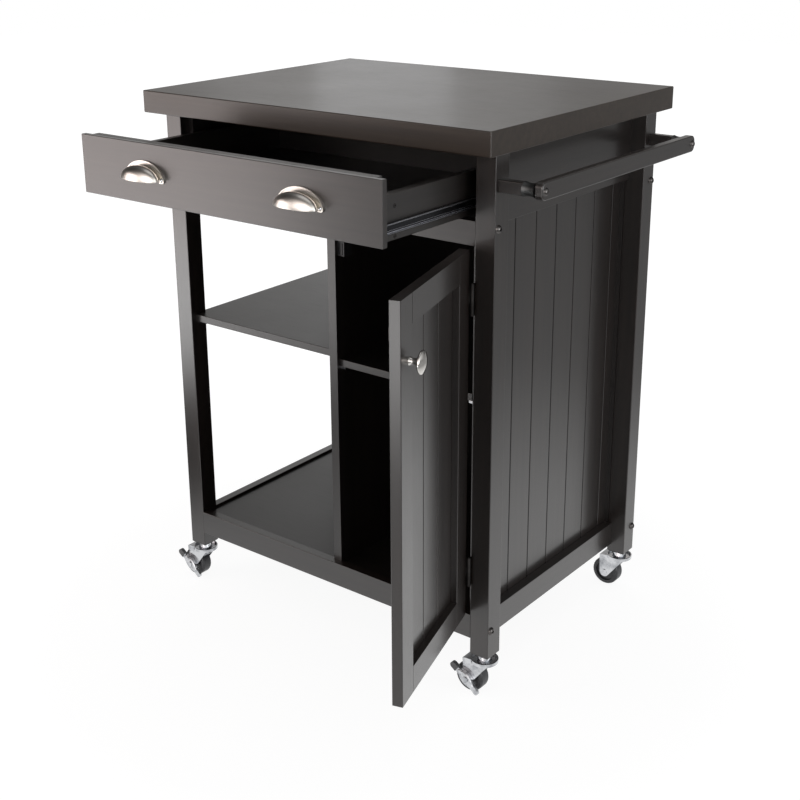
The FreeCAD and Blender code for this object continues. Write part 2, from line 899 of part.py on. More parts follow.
def knob_place():
    return Vector(door_left + knob_from_free_edge, frame_front, knob_height)


def door_stile(x0):
    stile = door_blank(x0, x0 + door_rail_width, door_base, door_top)
    return eased(stile, door_edge_radius, up).cut(door_panel_board(door_panel_play))


def door_stile_free():
    place = knob_place()
    bore = rod(knob_screw_radius + bolt_play, place, place + back * door_thickness)
    return door_stile(door_left).cut(bore)


def door_stile_hinge():
    return door_stile(door_right - door_rail_width)


def door_rails():
    x0 = door_left + door_rail_width
    x1 = door_right - door_rail_width
    low = door_blank(x0, x1, door_base, door_base + door_rail_width)
    high = door_blank(x0, x1, door_top - door_rail_width, door_top)
    return [rail.cut(door_panel_board(door_panel_play)) for rail in (low, high)]


def door_panel():
    panel = door_panel_board()
    grooves = []
    for index in range(door_groove_count):
        x = door_right - door_first_groove - index * board_pitch
        groove = board_groove(door_top - door_base)
        groove.translate(Vector(x, door_panel_front, door_base))
        grooves.append(groove)
    return panel.cut(Part.makeCompound(grooves))


def door_knob():
    flare = (knob_neck_radius + knob_base_radius) / 2
    rim_middle = (knob_disc_underside + knob_disc_rim) / 2
    under_edge = knob_disc_radius * knob_under_edge_share
    crown_edge = knob_disc_radius * knob_crown_edge_share
    crown_rise = knob_length - knob_disc_rim
    crown_sphere = (crown_edge ** 2 + crown_rise ** 2) / (2 * crown_rise)
    crown_middle = knob_length - crown_sphere + math.sqrt(crown_sphere ** 2 - crown_edge ** 2 / 4)
    bore = knob_screw_radius + bolt_play
    outline = path([(0, knob_bore_depth), (bore, knob_bore_depth), (bore, 0), (knob_base_radius, 0)])
    neck_low = knob_disc_underside * knob_neck_low_share
    neck_high = knob_disc_underside * knob_neck_high_share
    outline.append(bow((knob_base_radius, 0), (knob_neck_radius, neck_low), (flare, neck_high)))
    outline += path([(flare, neck_high), (under_edge, knob_disc_underside)])
    outline.append(bow(
        (under_edge, knob_disc_underside), (knob_disc_radius, rim_middle), (crown_edge, knob_disc_rim)
    ))
    outline.append(bow((crown_edge, knob_disc_rim), (crown_edge / 2, crown_middle), (0, knob_length)))
    outline += path([(0, knob_length), (0, knob_bore_depth)])
    return placed(turned(outline), knob_place(), front)


def knob_screw():
    shank = door_thickness + knob_bore_depth - bolt_play
    screw = domed_screw(knob_screw_head_radius, knob_screw_head_height, knob_screw_radius, shank)
    return placed(screw, knob_place() + back * door_thickness, back)


def hinge_knuckle(middle, low_share, high_share):
    bottom = middle - hinge_height / 2
    low = bottom + low_share * hinge_height
    high = bottom + high_share * hinge_height
    low_gap = hinge_play / 2 if low_share > 0 else 0
    high_gap = hinge_play / 2 if high_share < 1 else 0
    start = hinge_axis + up * (low + low_gap)
    end = hinge_axis + up * (high - high_gap)
    return rod(hinge_knuckle_radius, start, end), start.z, end.z


def hinge_leaf(middle, x0, knuckle_shares):
    # A plate beside the door's edge, with a tongue to each of its own knuckles.
    plate_front = hinge_axis.y + hinge_knuckle_radius + hinge_play
    plate_back = frame_front + hinge_leaf_depth
    leaf = block(
        x0, x0 + hinge_leaf_thickness, plate_front, plate_back,
        middle - hinge_height / 2, middle + hinge_height / 2
    )
    for low_share, high_share in knuckle_shares:
        knuckle, low, high = hinge_knuckle(middle, low_share, high_share)
        tongue = block(x0, x0 + hinge_leaf_thickness, hinge_axis.y, plate_front, low, high)
        leaf = leaf.fuse(knuckle).fuse(tongue)
    bore_start = hinge_axis + up * (middle - hinge_height)
    leaf = leaf.cut(rod(hinge_pin_radius + hinge_fit, bore_start, bore_start + up * 2 * hinge_height))
    return leaf.removeSplitter()


def hinge_pin(middle):
    start = hinge_axis + up * (middle - hinge_height / 2)
    end = hinge_axis + up * (middle + hinge_height / 2)
    head = rod(hinge_pin_head_radius, end, end + up * hinge_pin_head_height)
    return rod(hinge_pin_radius, start, end).fuse(head).removeSplitter()


def hinge_frame_leaves():
    pieces = []
    for middle in hinge_middles:
        shares = ((0, hinge_knuckle_low_share), (hinge_knuckle_high_share, 1))
        pieces.append(hinge_leaf(middle, leg_inner_x - hinge_leaf_thickness, shares))
        pieces.append(hinge_pin(middle))
    return pieces


def hinge_door_leaves():
    shares = ((hinge_knuckle_low_share, hinge_knuckle_high_share),)
    return [hinge_leaf(middle, door_right, shares) for middle in hinge_middles]


def magnetic_catch():
    face = door_inner + strike_thickness + catch_play
    base = catch_middle_height - catch_height / 2
    case = block(
        partition_right, partition_right + catch_width, face, face + catch_depth, base, base + catch_height
    )
    case = eased(case, catch_edge_radius, right)
    for x in (partition_right + catch_pole_inset, partition_right + catch_width - catch_pole_inset):
        case = case.cut(block(
            x - catch_pole_width / 2, x + catch_pole_width / 2, face, face + catch_pole_width,
            base + catch_pole_inset, base + catch_height - catch_pole_inset
        ))
    return case


def strike_plate():
    base = catch_middle_height - strike_height / 2
    x0 = door_left + strike_inset
    plate = block(
        x0, x0 + strike_width, door_inner, door_inner + strike_thickness, base, base + strike_height
    )
    return eased(plate, strike_corner_radius, back)


def caster_socket(corner):
    outline = path([
        (stem_radius + running_fit, caster_height - socket_flange_thickness),
        (socket_flange_radius, caster_height - socket_flange_thickness),
        (socket_flange_radius, caster_height),
        (socket_radius, caster_height),
        (socket_radius, caster_height + socket_length),
        (stem_radius + running_fit, caster_height + socket_length),
        (stem_radius + running_fit, caster_height - socket_flange_thickness),
    ])
    socket = turned(outline)
    socket.translate(corner)
    return socket


def fork_dish():
    # The swivel head: a lipped dish under the leg, rising to a cone that carries the stem.
    top = caster_height - socket_flange_thickness - running_gap
    floor_top = fork_dish_base + fork_sheet
    return turned(path([
        (0, fork_dish_base), (fork_dish_radius, fork_dish_base),
        (fork_dish_radius, fork_dish_base + fork_dish_lip),
        (fork_dish_radius - fork_sheet, fork_dish_base + fork_dish_lip),
        (fork_dish_radius - fork_sheet, floor_top), (fork_cone_radius, floor_top),
        (fork_cone_top_radius, top), (stem_radius, top), (stem_radius, top + stem_length),
        (0, top + stem_length), (0, fork_dish_base),
    ]))


def fork_plate():
    # One side of the fork: from the dish down to the boss round the axle.
    axle = Vector(-caster_trail, 0, wheel_radius)
    reach = fork_dish_base + fork_sheet
    hood = fork_dish_base + fork_sheet - wheel_radius
    turn = math.radians(90 + fork_hood_degrees)
    hood_middle = math.radians(90 + fork_hood_degrees / 2)
    start = Vector(fork_dish_radius * diagonal_share, 0, reach)
    low = axle + Vector(fork_boss_radius * diagonal_share, 0, -fork_boss_radius * diagonal_share)
    left = axle + Vector(-fork_boss_radius, 0, 0)
    below = axle + Vector(-fork_boss_radius * diagonal_share, 0, -fork_boss_radius * diagonal_share)
    hood_end = axle + Vector(math.cos(turn), 0, math.sin(turn)) * hood
    hood_mid = axle + Vector(math.cos(hood_middle), 0, math.sin(hood_middle)) * hood
    hood_top = axle + up * hood
    outline = [
        Part.LineSegment(start, low).toShape(),
        Part.Arc(low, below, left).toShape(),
        Part.LineSegment(left, hood_end).toShape(),
        Part.Arc(hood_end, hood_mid, hood_top).toShape(),
        Part.LineSegment(hood_top, start).toShape(),
    ]
    return Part.Face(Part.Wire(outline))


def caster_fork():
    side = fork_plate()
    near = side.extrude(back * fork_sheet)
    far = near.copy()
    near.translate(front * fork_outer_half)
    far.translate(back * wheel_clear_half)
    hood_radius = fork_dish_base + fork_sheet - wheel_radius
    axle = Vector(-caster_trail, -fork_outer_half, wheel_radius)
    width = back * 2 * fork_outer_half
    whole = rod(hood_radius, axle, axle + width).cut(rod(hood_radius - fork_sheet, axle, axle + width))
    sector = side.extrude(width)
    sector.translate(front * fork_outer_half)
    hood = whole.common(sector)
    head = fork_dish()
    bore = rod(axle_radius + running_fit, axle + front * cut_overrun, axle + width + back * cut_overrun)
    fork = head.fuse([near, far, hood]).cut(bore)
    return fork.removeSplitter()


def caster_axle(braked):
    near = lever_outer_side + running_gap if braked else fork_outer_half
    start = Vector(-caster_trail, -near, wheel_radius)
    end = Vector(-caster_trail, fork_outer_half, wheel_radius)
    pin = rod(axle_radius, start, end)
    near_head = rod(axle_head_radius, start + front * axle_head_height, start)
    far_head = rod(axle_head_radius, end, end + back * axle_head_height)
    return pin.fuse([near_head, far_head]).removeSplitter()


def caster_wheel():
    half = wheel_half_width
    hub_half = wheel_clear_half - running_gap
    bore = axle_radius + running_fit
    recess = half - wheel_recess_depth
    shoulder = wheel_shoulder_radius
    bend = shoulder * (1 - diagonal_share)
    outline = path([
        (bore, -hub_half), (wheel_hub_radius, -hub_half), (wheel_hub_radius, -recess),
        (wheel_recess_radius, -recess), (wheel_recess_radius, -half), (wheel_radius - shoulder, -half),
    ])
    outline.append(bow(
        (wheel_radius - shoulder, -half), (wheel_radius - bend, -half + bend), (wheel_radius, -half + shoulder)
    ))
    outline += path([(wheel_radius, -half + shoulder), (wheel_radius, half - shoulder)])
    outline.append(bow(
        (wheel_radius, half - shoulder), (wheel_radius - bend, half - bend), (wheel_radius - shoulder, half)
    ))
    outline += path([
        (wheel_radius - shoulder, half), (wheel_recess_radius, half), (wheel_recess_radius, recess),
        (wheel_hub_radius, recess), (wheel_hub_radius, hub_half), (bore, hub_half), (bore, -hub_half),
    ])
    return placed(turned(outline), Vector(-caster_trail, 0, wheel_radius), back)


def lever_outline(growth):
    # A boat shape along X in the XZ plane, round at both tips, grown by the given amount.
    tip = lever_tip_radius + growth
    upper_x = lever_upper_length - lever_tip_radius
    lower_x = -lever_lower_length + lever_tip_radius
    belly = lever_half_width + growth
    edges = [
        bow((lower_x, tip), (0, belly), (upper_x, tip)),
        bow((upper_x, tip), (upper_x + tip, 0), (upper_x, -tip)),
        bow((upper_x, -tip), (0, -belly), (lower_x, -tip)),
        bow((lower_x, -tip), (lower_x - tip, 0), (lower_x, tip)),
    ]
    return Part.Face(Part.Wire(edges))


def lever_pressing():
    # The full depth of the pressing, its outer edge bevelled by a ruled loft.
    straight = lever_depth - lever_edge_radius
    body = lever_outline(0).extrude(front * straight)
    rim = lever_outline(0).OuterWire
    face = lever_outline(-lever_edge_radius).OuterWire
    rim.translate(front * straight)
    face.translate(front * lever_depth)
    body = body.fuse(Part.makeLoft([rim, face], True, True))
    body.translate(front * lever_inner_side)
    return body


def finger(start, length, radius, growth, degrees):
    # A flat round-ended tab out from the axle, grown on every side by the given amount.
    tip = length - radius
    wide = radius + growth
    outline = path([(start, -wide), (tip, -wide)])
    outline.append(bow((tip, -wide), (tip + wide, 0), (tip, wide)))
    outline += path([(tip, wide), (start, wide), (start, -wide)])
    tab = Part.Face(Part.Wire(outline)).extrude(front * (finger_thickness + 2 * growth))
    tab.translate(front * (lever_outer_side - finger_setback - finger_thickness - growth))
    tab.rotate(Vector(), back, -degrees)
    return tab


def lever_placed(shape):
    shape.rotate(Vector(), back, -lever_tilt_degrees)
    shape.translate(Vector(-caster_trail, 0, wheel_radius))
    return shape


def brake_lever():
    # A pressed rocker on the axle, hollow on the wheel's side, with a tab to step on at each end.
    # The upper tab has a rubber sleeve.
    body = lever_pressing()
    hollow = lever_outline(-lever_sheet).extrude(front * (lever_depth - lever_sheet))
    hollow.translate(front * lever_inner_side)
    hub_start = front * lever_inner_side
    hub = rod(lever_hub_radius, hub_start, hub_start + front * (lever_depth - lever_sheet))
    bore = rod(axle_radius + running_fit, Vector(), front * (lever_outer_side + cut_overrun))
    turn = upper_finger_turn_degrees
    upper = finger(lever_half_width, upper_finger_length, upper_finger_radius, 0, turn)
    lower = finger(lever_half_width, lower_finger_length, lower_finger_radius, 0, 180)
    tabs = upper.fuse(lower).cut(hollow)
    pressed = body.cut(hollow).fuse([hub, tabs]).cut(bore).removeSplitter()
    sleeve_start = upper_finger_length - lever_pad_length
    sleeve = finger(sleeve_start, upper_finger_length, upper_finger_radius, lever_pad_thickness, turn)
    sleeve = sleeve.cut(upper).cut(body)
    return [lever_placed(pressed), lever_placed(sleeve)]


def moved(shapes, corner):
    for shape in shapes:
        shape.translate(corner)
    return shapes


def cart_pieces():
    pieces = {
        "worktop": [worktop()],
        "drawer_rail_front": [drawer_rail_front()],
        "bottom_rail_front": [bottom_rail_front()],
        "top_rail_back": [top_rail_back()],
        "bottom_rail_back": [bottom_rail_back()],
        "side_apron_left": [mirrored(side_apron())],
        "side_apron_right": [side_apron()],
        "side_rail_left": [side_rail_left()],
        "side_rail_right": [side_rail_right()],
        "side_panel": [side_panel()],
        "back_panel": [back_panel_board()],
        "partition": [partition()],
        "bottom_shelf": [bottom_shelf()],
        "open_shelf": [open_shelf()],
        "cabinet_shelf": [cabinet_shelf()],
        "support_cleats": support_cleats(),
        "shelf_pegs": shelf_pegs(),
        "frame_bolts": frame_bolts(),
        "barrel_nuts": barrel_nuts(),
        "towel_bar": [towel_bar()],
        "towel_arms": towel_arms(),
        "towel_collars": towel_collars(),
        "towel_screws": towel_screws(),
        "slide_channels": slide_channels(),
        "hinge_frame_leaves": hinge_frame_leaves(),
        "magnetic_catch": [magnetic_catch()],
        "caster_sockets": [caster_socket(corner) for corner in corners.values()],
    }
    for name, corner in corners.items():
        pieces["leg_" + name] = [leg(corner)]
    return pieces


def drawer_pieces():
    return {
        "drawer_front": [drawer_front()],
        "drawer_inner_front": [drawer_inner_front()],
        "drawer_side_left": [mirrored(drawer_side())],
        "drawer_side_right": [drawer_side()],
        "drawer_back": [drawer_back()],
        "drawer_bottom": [drawer_bottom_board()],
        "drawer_cams": drawer_cams(),
        "slide_runners": slide_runners(),
        "cup_pull_left": [cup_pull(-1)],
        "cup_pull_right": [cup_pull(1)],
        "pull_screws": pull_screws(),
    }


def door_pieces():
    return {
        "door_stile_free": [door_stile_free()],
        "door_stile_hinge": [door_stile_hinge()],
        "door_rails": door_rails(),
        "door_panel": [door_panel()],
        "door_knob": [door_knob()],
        "knob_screw": [knob_screw()],
        "hinge_door_leaves": hinge_door_leaves(),
        "strike_plate": [strike_plate()],
    }


def caster_pieces():
    pieces = {}
    for name, corner in corners.items():
        braked = name in braked_corners
        pieces["caster_fork_" + name] = moved([caster_fork(), caster_axle(braked)], corner)
        pieces["caster_wheel_" + name] = moved([caster_wheel()], corner)
        if braked:
            pieces["brake_lever_" + name] = moved(brake_lever(), corner)
    return pieces


def rest_pose():
    pieces = cart_pieces()
    for name, shapes in drawer_pieces().items():
        pieces[name] = moved(shapes, front * drawer_pulled_out)
    for name, shapes in door_pieces().items():
        for shape in shapes:
            shape.rotate(hinge_axis, up, door_opened_degrees)
        pieces[name] = shapes
    pieces.update(caster_pieces())
    return pieces


def bottom_middle(pieces):
    box = FreeCAD.BoundBox()
    for shapes in pieces.values():
        for shape in shapes:
            box.add(shape.optimalBoundingBox(False, False))
    return Vector(box.Center.x, box.Center.y, box.ZMin), box


def report(name, point):
    print("%-28s %10.3f %10.3f %10.3f" % (name, point.x, point.y, point.z))


def main():
    os.makedirs("parts", exist_ok=True)
    pieces = rest_pose()
    origin, box = bottom_middle(pieces)
    for name, shapes in pieces.items():
        solids = moved(shapes, origin * -1)
        node = Part.makeCompound(solids) if len(solids) > 1 else solids[0]
        node.exportStep("parts/" + name + ".step")
    report("size", Vector(box.XLength, box.YLength, box.ZLength))
    report("worktop middle on the floor", origin * -1)
    report("door hinge", hinge_axis - origin)
    for name, corner in corners.items():
        report("swivel " + name, corner - origin)
        report("axle " + name, corner + Vector(-caster_trail, 0, wheel_radius) - origin)


main()
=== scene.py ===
import math

import bmesh
import bpy
from mathutils import Matrix, Vector


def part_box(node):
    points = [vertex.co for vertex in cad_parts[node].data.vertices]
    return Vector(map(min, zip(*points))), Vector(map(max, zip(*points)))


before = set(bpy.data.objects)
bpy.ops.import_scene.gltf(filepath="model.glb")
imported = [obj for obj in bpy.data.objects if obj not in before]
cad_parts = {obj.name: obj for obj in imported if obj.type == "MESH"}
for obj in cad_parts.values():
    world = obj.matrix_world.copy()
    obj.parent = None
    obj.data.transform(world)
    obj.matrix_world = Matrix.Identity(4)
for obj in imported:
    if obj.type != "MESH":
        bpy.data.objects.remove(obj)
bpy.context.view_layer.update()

print("frame loaded:", len(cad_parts), "nodes")


class Value:
    # a socket that can stand in a sum, so shader maths reads as maths
    def __init__(self, finish, socket):
        self.finish = finish
        self.socket = socket

    def maths(self, operation, first, second=None):
        inputs = {0: first} if second is None else {0: first, 1: second}
        return self.finish.node("ShaderNodeMath", {"operation": operation}, inputs)

    def __add__(self, other):
        return self.maths("ADD", self, other)

    def __radd__(self, other):
        return self.maths("ADD", other, self)

    def __sub__(self, other):
        return self.maths("SUBTRACT", self, other)

    def __rsub__(self, other):
        return self.maths("SUBTRACT", other, self)

    def __mul__(self, other):
        return self.maths("MULTIPLY", self, other)

    def __rmul__(self, other):
        return self.maths("MULTIPLY", other, self)

    def __truediv__(self, other):
        return self.maths("DIVIDE", self, other)

    def __pow__(self, other):
        return self.maths("POWER", self, other)

    def clipped(self, low, high):
        return self.finish.node("ShaderNodeClamp", {}, {"Value": self, "Min": low, "Max": high})


class Finish:
    # one node tree, for a material or the world
    def __init__(self, owner):
        self.owner = owner
        owner.use_nodes = True
        self.tree = owner.node_tree
        self.tree.nodes.clear()

    def node(self, kind, settings, inputs, output=0):
        made = self.tree.nodes.new(kind)
        for key, value in settings.items():
            if key == "stops":
                ramp = made.color_ramp
                while len(ramp.elements) < len(value):
                    ramp.elements.new(0.5)
                for element, (share, shade) in zip(ramp.elements, value):
                    element.position = share
                    element.color = (shade, shade, shade, 1)
            else:
                setattr(made, key, value)
        for key, value in inputs.items():
            if isinstance(value, Value):
                self.tree.links.new(value.socket, made.inputs[key])
            else:
                made.inputs[key].default_value = value
        return Value(self, made.outputs[output]) if made.outputs else made

    def place(self):
        return self.node("ShaderNodeTexCoord", {}, {}, "Object")

    def along(self, direction):
        # how far out a point lies in a direction
        return self.node(
            "ShaderNodeVectorMath", {"operation": "DOT_PRODUCT"}, {0: self.place(), 1: direction}, 1
        )

    def stretched(self, scale, turn=(0, 0, 0)):
        wanted = {"Vector": self.place(), "Rotation": turn, "Scale": scale}
        return self.node("ShaderNodeMapping", {}, wanted)

    def noise(self, vector, scale, detail, rough):
        wanted = {"Vector": vector, "Scale": scale, "Detail": detail, "Roughness": rough}
        return self.node("ShaderNodeTexNoise", {}, wanted)

    def ramp(self, factor, stops):
        return self.node("ShaderNodeValToRGB", {"stops": stops}, {"Fac": factor})

    def mixed(self, factor, first, second):
        # 0 is the factor, 6 and 7 are the two colours
        return self.node("ShaderNodeMix", {"data_type": "RGBA"}, {0: factor, 6: first, 7: second}, 2)

    def bump(self, height, distance, under=None):
        wanted = {"Height": height, "Distance": distance, "Strength": 1.0}
        if under is not None:
            wanted["Normal"] = under
        return self.node("ShaderNodeBump", {}, wanted)

    def done(self, **sockets):
        inputs = {key.replace("_", " "): value for key, value in sockets.items()}
        shader = self.node("ShaderNodeBsdfPrincipled", {}, inputs)
        self.node("ShaderNodeOutputMaterial", {}, {"Surface": shader})
        return self.owner


def newFinish(name):
    return Finish(bpy.data.materials.new(name))


def rgb(red, green, blue):
    return (red, green, blue, 1)


# Lacquered wood. The grain runs along one axis of the cart, or along the open door's rails.

doorTurn = 106.3  # degrees that the door stands open at rest
grainScales = {"x": (1, 26, 26), "y": (26, 1, 26), "z": (26, 26, 1), "door": (1, 26, 26)}
grainTurns = {"x": (0, 0, 0), "y": (0, 0, 0), "z": (0, 0, 0), "door": (0, 0, math.radians(doorTurn))}

lacquerLooks = {
    "cartLacquer": {
        "dark": rgb(0.0082, 0.0058, 0.0050),
        "light": rgb(0.0200, 0.0138, 0.0114),
        "rough": 0.36,
        "coat": 0.85,
        "coatRough": 0.20,
        "poreDepth": 0.00006,
        "waveDepth": 0.00022,
    },
    "worktopLacquer": {
        "dark": rgb(0.0200, 0.0130, 0.0084),
        "light": rgb(0.0420, 0.0285, 0.0190),
        "rough": 0.34,
        "coat": 0.35,
        "coatRough": 0.22,
        "poreDepth": 0.00004,
        "waveDepth": 0.00020,
    },
    "boardLacquer": {
        "dark": rgb(0.0062, 0.0048, 0.0042),
        "light": rgb(0.0150, 0.0112, 0.0094),
        "rough": 0.40,
        "coat": 0.50,
        "coatRough": 0.26,
        "poreDepth": 0.00005,
        "waveDepth": 0.00018,
    },
    "drawerLining": {
        "dark": rgb(0.0040, 0.0034, 0.0034),
        "light": rgb(0.0090, 0.0072, 0.0068),
        "rough": 0.50,
        "coat": 0.15,
        "coatRough": 0.34,
        "poreDepth": 0.00006,
        "waveDepth": 0.00015,
    },
}


# Each noise is its scale, detail and roughness; each pair of stops runs from 0 to 1.
woodMaking = {
    "veins": (4.0, 5.0, 0.6),
    "pores": (34.0, 2.0, 0.7),
    "waves": (7.0, 2.0, 0.5),
    "smears": (3.2, 4.0, 0.62),
    "veinShare": 0.75,
    "smearShare": 0.25,
    "toneStops": [(0.30, 0.0), (0.72, 1.0)],
    "poreStops": [(0.30, 0.0), (0.46, 1.0)],
    "smearRough": 0.16,
    "poreRough": 0.05,
}

# The boards of the side panel and the door are parted by a groove each, painted almost black as painted
# shade: how far below the boards' faces the painted shade starts and ends, in metres, and which way each
# panel faces, in degrees.
grooveShade = {"start": 0.0006, "end": 0.0024, "sharpness": 4000, "black": rgb(0.0016, 0.0014, 0.0014)}
boarded = {
    "side_panel": {"finish": "sidePanelLacquer", "faces": 0},
    "door_panel": {"finish": "doorPanelLacquer", "faces": doorTurn - 90},
}


def lacquer(kind, grain, panel=None):
    look = lacquerLooks[kind]
    finish = newFinish(boarded[panel]["finish"] if panel else kind + grain.capitalize())
    along = finish.stretched(grainScales[grain], grainTurns[grain])
    veins = finish.noise(along, *woodMaking["veins"])
    pores = finish.noise(along, *woodMaking["pores"])
    waves = finish.noise(finish.place(), *woodMaking["waves"])
    smears = finish.noise(finish.place(), *woodMaking["smears"])
    streaks = veins * woodMaking["veinShare"] + smears * woodMaking["smearShare"]
    tone = finish.ramp(streaks, woodMaking["toneStops"])
    colour = finish.mixed(tone, look["dark"], look["light"])
    openPores = finish.ramp(pores, woodMaking["poreStops"])
    clouded = look["rough"] + (smears - 0.5) * woodMaking["smearRough"]
    roughness = clouded + (1 - openPores) * woodMaking["poreRough"]
    rolling = finish.bump(waves, look["waveDepth"])
    surface = finish.bump(openPores * 0.5 + veins * 0.5, look["poreDepth"], rolling)
    if panel is None:
        return finish.done(
            Base_Color=colour, Roughness=roughness, Normal=surface,
            Coat_Weight=look["coat"], Coat_Roughness=look["coatRough"],
        )
    # painted shade in each groove: a metal as dark as this, without coat, gives back next to no light
    turn = math.radians(boarded[panel]["faces"])
    outward = Vector((math.cos(turn), math.sin(turn), 0))
    outside = max(outward.dot(corner.co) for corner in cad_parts[panel].data.vertices)
    out = finish.along(outward)
    below = (((outside - grooveShade["start"]) - out) * grooveShade["sharpness"]).clipped(0.0, 1.0)
    shadedGroove = below * ((out - (outside - grooveShade["end"])) * grooveShade["sharpness"]).clipped(0.0, 1.0)
    return finish.done(
        Base_Color=finish.mixed(shadedGroove, colour, grooveShade["black"]), Metallic=shadedGroove, Roughness=roughness,
        Normal=surface, Coat_Weight=(1 - shadedGroove) * look["coat"], Coat_Roughness=look["coatRough"],
    )


# Metals and plastics

metalLooks = {
    "zincSteel": {
        "colour": rgb(0.68, 0.69, 0.71), "wearAndGlint": rgb(0.26, 0.27, 0.29), "rough": 0.13, "spread": 0.14,
    },
    "brushedNickel": {
        "colour": rgb(0.76, 0.73, 0.68), "wearAndGlint": rgb(0.64, 0.61, 0.57), "rough": 0.29, "spread": 0.08,
        "stretch": (1, 14, 14),
    },
    "polishedNickel": {
        "colour": rgb(0.74, 0.72, 0.69), "wearAndGlint": rgb(0.62, 0.60, 0.57), "rough": 0.13, "spread": 0.06,
        "stretch": (6, 6, 6),
    },
    "darkBolt": {
        "colour": rgb(0.075, 0.070, 0.068), "wearAndGlint": rgb(0.150, 0.142, 0.138), "rough": 0.24, "spread": 0.12,
    },
    "greyMetal": {
        "colour": rgb(0.078, 0.080, 0.080), "wearAndGlint": rgb(0.046, 0.048, 0.048), "rough": 0.42, "spread": 0.12,
    },
    "blackSlide": {
        "colour": rgb(0.045, 0.046, 0.050), "wearAndGlint": rgb(0.085, 0.086, 0.090), "rough": 0.30, "spread": 0.12,
    },
    "darkHinge": {
        "colour": rgb(0.030, 0.028, 0.027), "wearAndGlint": rgb(0.060, 0.056, 0.054), "rough": 0.42, "spread": 0.12,
    },
}

plating = {
    "mottle": (160.0, 3.0, 0.6),
    "dulling": (38.0, 4.0, 0.6),
    "grain": (900.0, 2.0, 0.6),
    "wornStops": [(0.46, 0.0), (0.72, 1.0)],
    "mottleMiddle": 0.4,
    "mottleShare": 0.7,
    "grainShare": 0.3,
    "depth": 0.00005,
}


def plated(kind):
    # zinc and painted sheet: a faint mottle, darker where hands and dust have dulled it
    look = metalLooks[kind]
    finish = newFinish(kind)
    mottle = finish.noise(finish.place(), *plating["mottle"])
    dulling = finish.noise(finish.place(), *plating["dulling"])
    grain = finish.noise(finish.place(), *plating["grain"])
    wearAndGlint = finish.ramp(dulling, plating["wornStops"])
    colour = finish.mixed(wearAndGlint, look["colour"], look["wearAndGlint"])
    roughness = look["rough"] + (mottle - plating["mottleMiddle"]) * look["spread"]
    relief = mottle * plating["mottleShare"] + grain * plating["grainShare"]
    surface = finish.bump(relief, plating["depth"])
    return finish.done(Base_Color=colour, Metallic=1.0, Roughness=roughness, Normal=surface)


# The brake lever's upper tab wears a rubber sleeve, from this many metres out from the axle.
sleeve = {
    "start": 0.0205,
    "degrees": 144,
    "metal": rgb(0.66, 0.67, 0.69),
    "dulled": rgb(0.36, 0.37, 0.39),
    "rubber": rgb(0.115, 0.117, 0.120),
    "metalRough": 0.20,
    "mottleRough": 0.10,
    "rubberRough": 0.48,
    "mottle": (120.0, 4.0, 0.6),
    "wornStops": [(0.44, 0.0), (0.68, 1.0)],
    "sharpness": 20000,
    "depth": 0.00005,
}


def steppedLever(side):
    low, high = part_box("caster_wheel_front_" + side)
    axle = (Vector(low) + Vector(high)) / 2
    turn = math.radians(sleeve["degrees"])
    outward = Vector((math.cos(turn), 0, math.sin(turn)))
    finish = newFinish("brakeLever" + side.capitalize())
    past = finish.along(outward) - (axle.dot(outward) + sleeve["start"])
    covered = (past * sleeve["sharpness"]).clipped(0.0, 1.0)
    mottle = finish.noise(finish.place(), *sleeve["mottle"])
    wearAndGlint = finish.ramp(mottle, sleeve["wornStops"])
    colour = finish.mixed(covered, finish.mixed(wearAndGlint, sleeve["metal"], sleeve["dulled"]), sleeve["rubber"])
    bare = 1 - covered
    metalRough = sleeve["metalRough"] + mottle * sleeve["mottleRough"]
    roughness = bare * metalRough + covered * sleeve["rubberRough"]
    surface = finish.bump(mottle, sleeve["depth"])
    return finish.done(Base_Color=colour, Metallic=bare, Roughness=roughness, Normal=surface)


# Painted highlights: the drawer's runner gets bright metal bands along its rolled lips, standing in for
# their glints, each a middle and a half width in shares of the runner's height.
runner = {
    "lips": ((0.08, 0.048), (0.25, 0.030), (0.75, 0.030), (0.92, 0.048)),
    "black": rgb(0.040, 0.041, 0.045),
    "bright": rgb(0.78, 0.79, 0.84),
    "scuffs": (30.0, 4.0, 0.6),
    "stretch": (8, 1, 30),
    "leastGlint": 0.55,
    "scuffGlint": 0.6,
    "rough": 0.26,
    "scuffRough": 0.12,
    "sharpness": 60,
    "depth": 0.0003,
}


def lipGlintRunner():
    low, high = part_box("slide_runners")
    finish = newFinish("lipGlintRunner")
    height = finish.node("ShaderNodeSeparateXYZ", {}, {"Vector": finish.place()}, "Z")
    share = (height - low[2]) / (high[2] - low[2])
    wearAndGlint = 0
    # painted highlights: each lip band is a bright metal stripe, brighter or dimmer with the scuffs
    for middle, half in runner["lips"]:
        off = finish.node("ShaderNodeMath", {"operation": "ABSOLUTE"}, {0: share - middle})
        wearAndGlint = ((half - off) * runner["sharpness"]).clipped(0.0, 1.0) + wearAndGlint
    scuffs = finish.noise(finish.stretched(runner["stretch"]), *runner["scuffs"])
    bright = (wearAndGlint * (runner["leastGlint"] + scuffs * runner["scuffGlint"])).clipped(0.0, 1.0)
    colour = finish.mixed(bright, runner["black"], runner["bright"])
    roughness = runner["rough"] + (scuffs - 0.5) * runner["scuffRough"]
    surface = finish.bump(wearAndGlint, runner["depth"])
    return finish.done(Base_Color=colour, Metallic=1.0, Roughness=roughness, Normal=surface)


brushing = {
    "scratches": (60.0, 4.0, 0.7),
    "clouds": (45.0, 3.0, 0.6),
    "scratchShare": 0.4,
    "cloudShare": 0.6,
    "wornStops": [(0.42, 0.0), (0.70, 1.0)],
    "depth": 0.000012,
}


